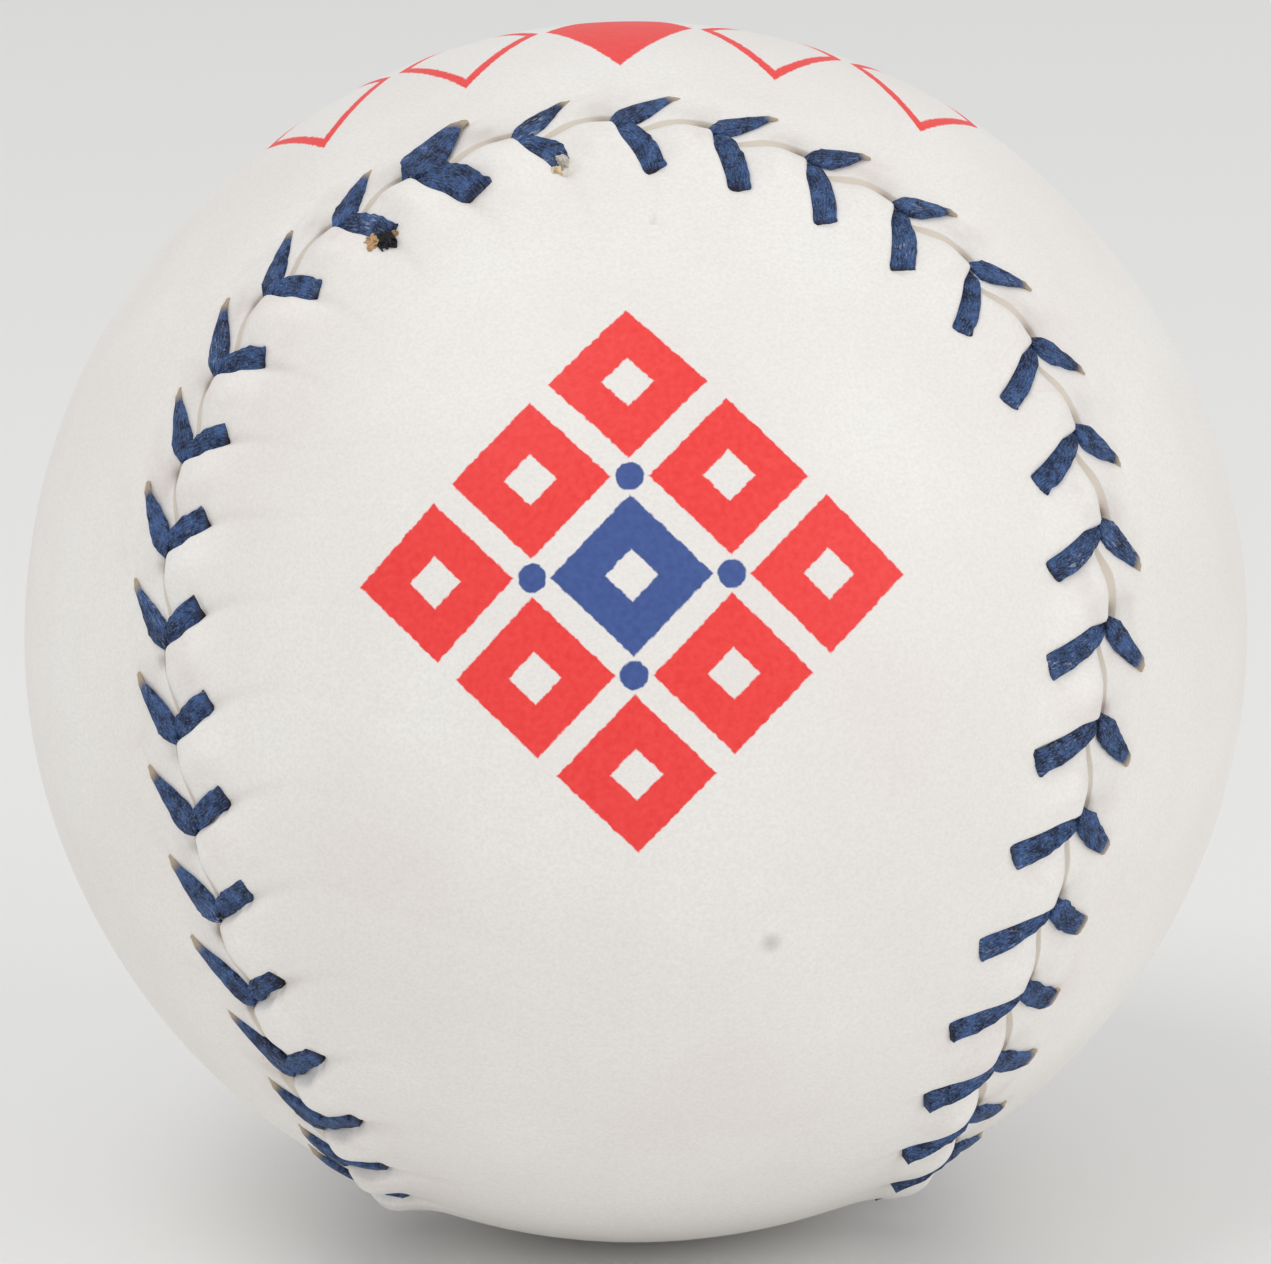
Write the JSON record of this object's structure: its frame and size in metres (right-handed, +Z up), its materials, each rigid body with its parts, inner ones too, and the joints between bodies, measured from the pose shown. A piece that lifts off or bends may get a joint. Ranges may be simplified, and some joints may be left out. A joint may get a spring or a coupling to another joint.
{
  "type": "rounders ball",
  "caption": "Small hard ball for a bat-and-ball game: a cork core wound with wool and string, in a white leather cover of figure-eight panels laced with a navy V stitch.",
  "frame": {"origin": "centre of the ball", "axes": "+Z up through the middle of the upper panel's neck, -Y out through the front lobe of the lower panel, towards the viewer"},
  "size_m": [0.0604, 0.0604, 0.0604],
  "materials": {
    "white_leather": "alum-tawed white hide, satin",
    "navy_thread": "flat waxed yarn",
    "pale_knot": "undyed frayed yarn",
    "dark_knot": "singed yarn end",
    "cotton_string": "wound string",
    "wool_yarn": "wound yarn",
    "cork": "moulded cork"
  },
  "bodies": {
    "root": {"lower_cover_panel": "white_leather", "upper_cover_panel": "white_leather", "first_sewing_thread": "navy_thread", "second_sewing_thread": "navy_thread", "starting_knot": "pale_knot", "finishing_knot": "dark_knot", "string_winding": "cotton_string", "wool_winding": "wool_yarn", "cork_core": "cork"}
  },
  "joints": []
}
